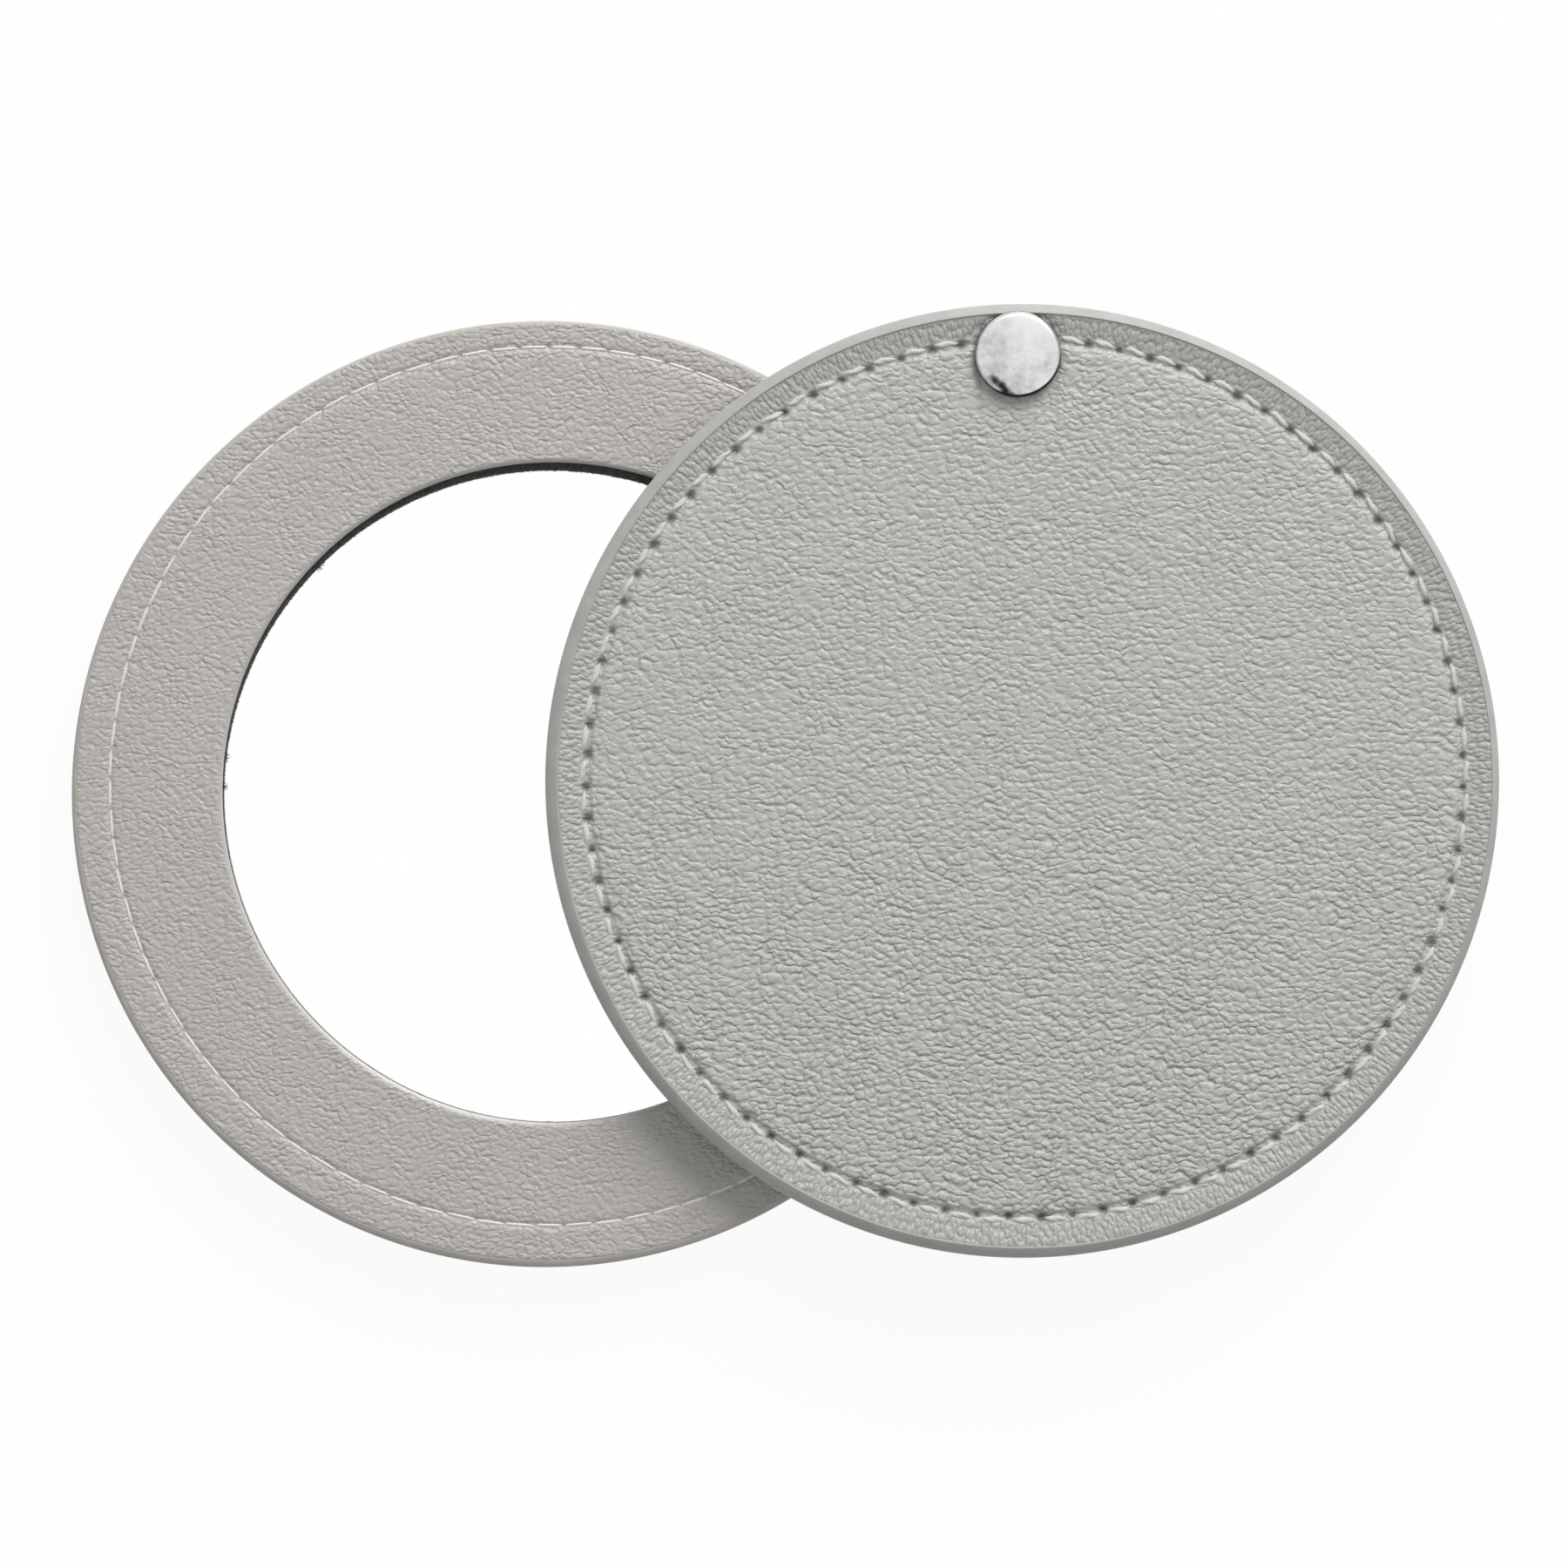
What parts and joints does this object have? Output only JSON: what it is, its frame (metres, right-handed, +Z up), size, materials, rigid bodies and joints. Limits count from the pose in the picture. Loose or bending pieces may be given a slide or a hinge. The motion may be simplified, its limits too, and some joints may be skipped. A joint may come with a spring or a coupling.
{
  "type": "compact mirror",
  "caption": "Round pocket mirror in a sewn grey leatherette disc with a matching sewn cover disc that swings aside on a domed rivet and a flat link.",
  "frame": {"origin": "middle of the overall outline, open as pictured, in the plane of the mirror disc's back", "axes": "+X from the mirror disc towards the cover, +Y towards the rivet's edge, +Z up through the glass"},
  "size_m": [0.1126, 0.076, 0.0099],
  "materials": {
    "cover_leatherette": "fine wrinkled grain, low sheen",
    "mirror_leatherette": "fine wrinkled grain, low sheen",
    "cover_edge_paint": "smooth satin edge paint",
    "mirror_edge_paint": "smooth satin edge paint",
    "greyboard": "matte",
    "cover_thread": "twisted polyester thread",
    "mirror_thread": "twisted polyester thread",
    "nickel_cap": "scuffed polished nickel",
    "nickel_rivet": "satin nickel",
    "link_steel": "brushed nickel plate",
    "washer_fibre": "matte",
    "dark_packing": "fuzzy cut edge",
    "adhesive": "matte",
    "silvered_glass": "polished"
  },
  "bodies": {
    "mirror_disc": {"mirror_back_panel": "mirror_leatherette", "base_board": "greyboard", "glass_adhesive": "adhesive", "mirror_glass": "silvered_glass", "core_ring": "greyboard", "packing_ring": "dark_packing", "mirror_front_ring": "mirror_leatherette", "mirror_edge_coat": "mirror_edge_paint", "mirror_front_stitches": "mirror_thread", "mirror_back_stitches": "mirror_thread", "link_rivet": "nickel_rivet", "rivet_burr": "nickel_rivet", "link_washer": "washer_fibre"},
    "link": {"swing_link": "link_steel"},
    "cover": {"cover_front_panel": "cover_leatherette", "cover_back_panel": "cover_leatherette", "cover_board": "greyboard", "cover_edge_coat": "cover_edge_paint", "cover_front_stitches": "cover_thread", "cover_back_stitches": "cover_thread", "rivet_cap": "nickel_cap", "rivet_post": "nickel_rivet", "pivot_washer": "washer_fibre"}
  },
  "joints": [
    {"name": "link_swing", "type": "hinge", "parent": "mirror_disc", "child": "link", "pos_m": [-0.00009, 0.02424, 0.0053], "axis": [0, 0, 1], "range_deg": [-60, 127.63]},
    {"name": "cover_swing", "type": "hinge", "parent": "link", "child": "cover", "pos_m": [0.01849, 0.03402, 0.0053], "axis": [0, 0, -1], "range_deg": [-60, 127.63]}
  ]
}
